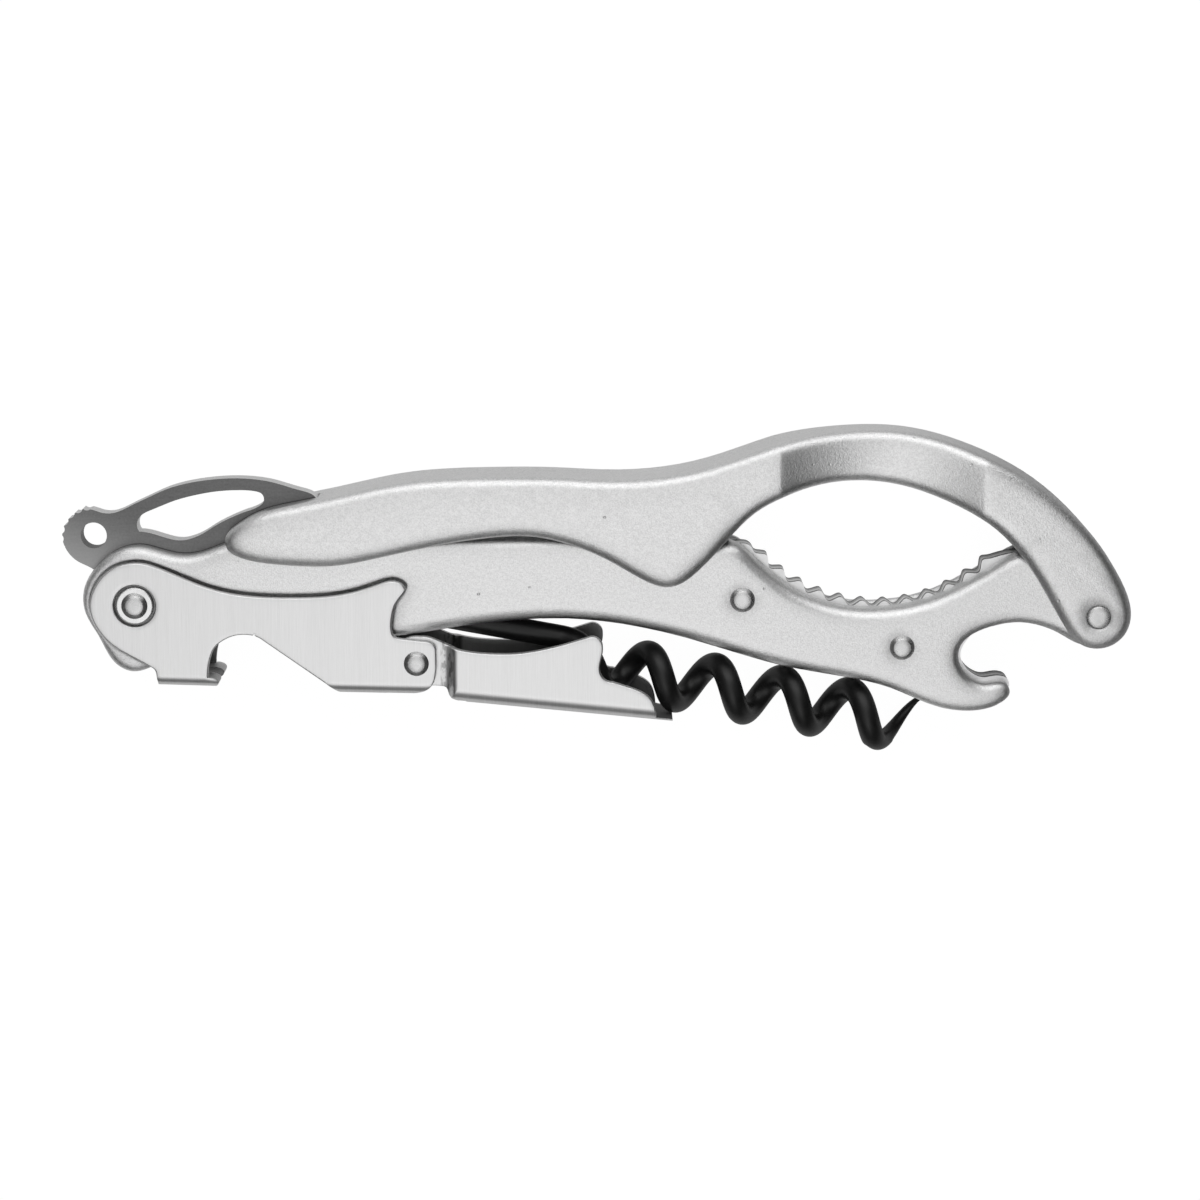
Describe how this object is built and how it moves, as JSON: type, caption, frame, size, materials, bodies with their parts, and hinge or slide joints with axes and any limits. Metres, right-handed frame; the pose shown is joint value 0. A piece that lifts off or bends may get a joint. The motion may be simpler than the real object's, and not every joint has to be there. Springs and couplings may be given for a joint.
{
  "type": "two-stage lever corkscrew",
  "caption": "Folding waiter's-type corkscrew with a two-stage bottle lever, coiled worm, swing-out foil knife and an arched plier arm over a toothed grip loop.",
  "frame": {"origin": "centre of the folded outline, at the back face the tool lies on", "axes": "+X along the handle towards the plier pivot, +Y towards the arched arm, +Z through the thickness and along every hinge axis"},
  "size_m": [0.1387, 0.0429, 0.0115],
  "materials": {
    "cast_satin": "bead-blasted satin chrome on a casting",
    "insert_steel": "stamped, satin",
    "lever_steel": "brushed across its length",
    "knife_steel": "satin, darker",
    "rivet_steel": "satin",
    "worm_coat": "black non-stick coating, soft sheen",
    "washer_plastic": "plain"
  },
  "bodies": {
    "frame": {"body_shell_front": "cast_satin", "body_shell_back": "cast_satin", "grip_insert_plate": "insert_steel", "frame_rivets": "rivet_steel", "lever_pivot_rivet": "rivet_steel", "pivot_bush_front": "rivet_steel", "pivot_bush_back": "rivet_steel", "worm_pin": "rivet_steel", "knife_washer_front": "washer_plastic", "knife_washer_back": "washer_plastic", "arm_washer_front": "washer_plastic", "arm_washer_back": "washer_plastic", "arm_pivot_rivet": "rivet_steel"},
    "arm": {"plier_arm": "cast_satin"},
    "lever_first": {"lever_first_stage": "lever_steel", "lever_hinge_rivet": "rivet_steel"},
    "lever_second": {"lever_second_stage": "lever_steel"},
    "worm_body": {"worm": "worm_coat"},
    "knife": {"foil_knife": "knife_steel"}
  },
  "joints": [
    {"name": "arm_swing", "type": "hinge", "parent": "frame", "child": "arm", "pos_m": [0.06505, -0.00271, 0.00575], "axis": [0, 0, 1], "range_deg": [-70, 0]},
    {"name": "lever_swing", "type": "hinge", "parent": "frame", "child": "lever_first", "pos_m": [-0.0597, -0.00127, 0.00575], "axis": [0, 0, 1], "range_deg": [-140, 0]},
    {"name": "lever_fold", "type": "hinge", "parent": "lever_first", "child": "lever_second", "pos_m": [-0.0233, -0.00886, 0.00575], "axis": [0, 0, 1], "range_deg": [-65, 0]},
    {"name": "worm_swing", "type": "hinge", "parent": "frame", "child": "worm_body", "pos_m": [-0.0287, -0.00231, 0.00575], "axis": [0, 0, 1], "range_deg": [-98, 0]},
    {"name": "knife_swing", "type": "hinge", "parent": "frame", "child": "knife", "pos_m": [-0.0597, -0.00127, 0.00575], "axis": [0, 0, 1], "range_deg": [0, 140]}
  ],
  "couplings": [
    {"joint": "worm_swing", "follows": "lever_swing", "ratio": 0.7}
  ]
}
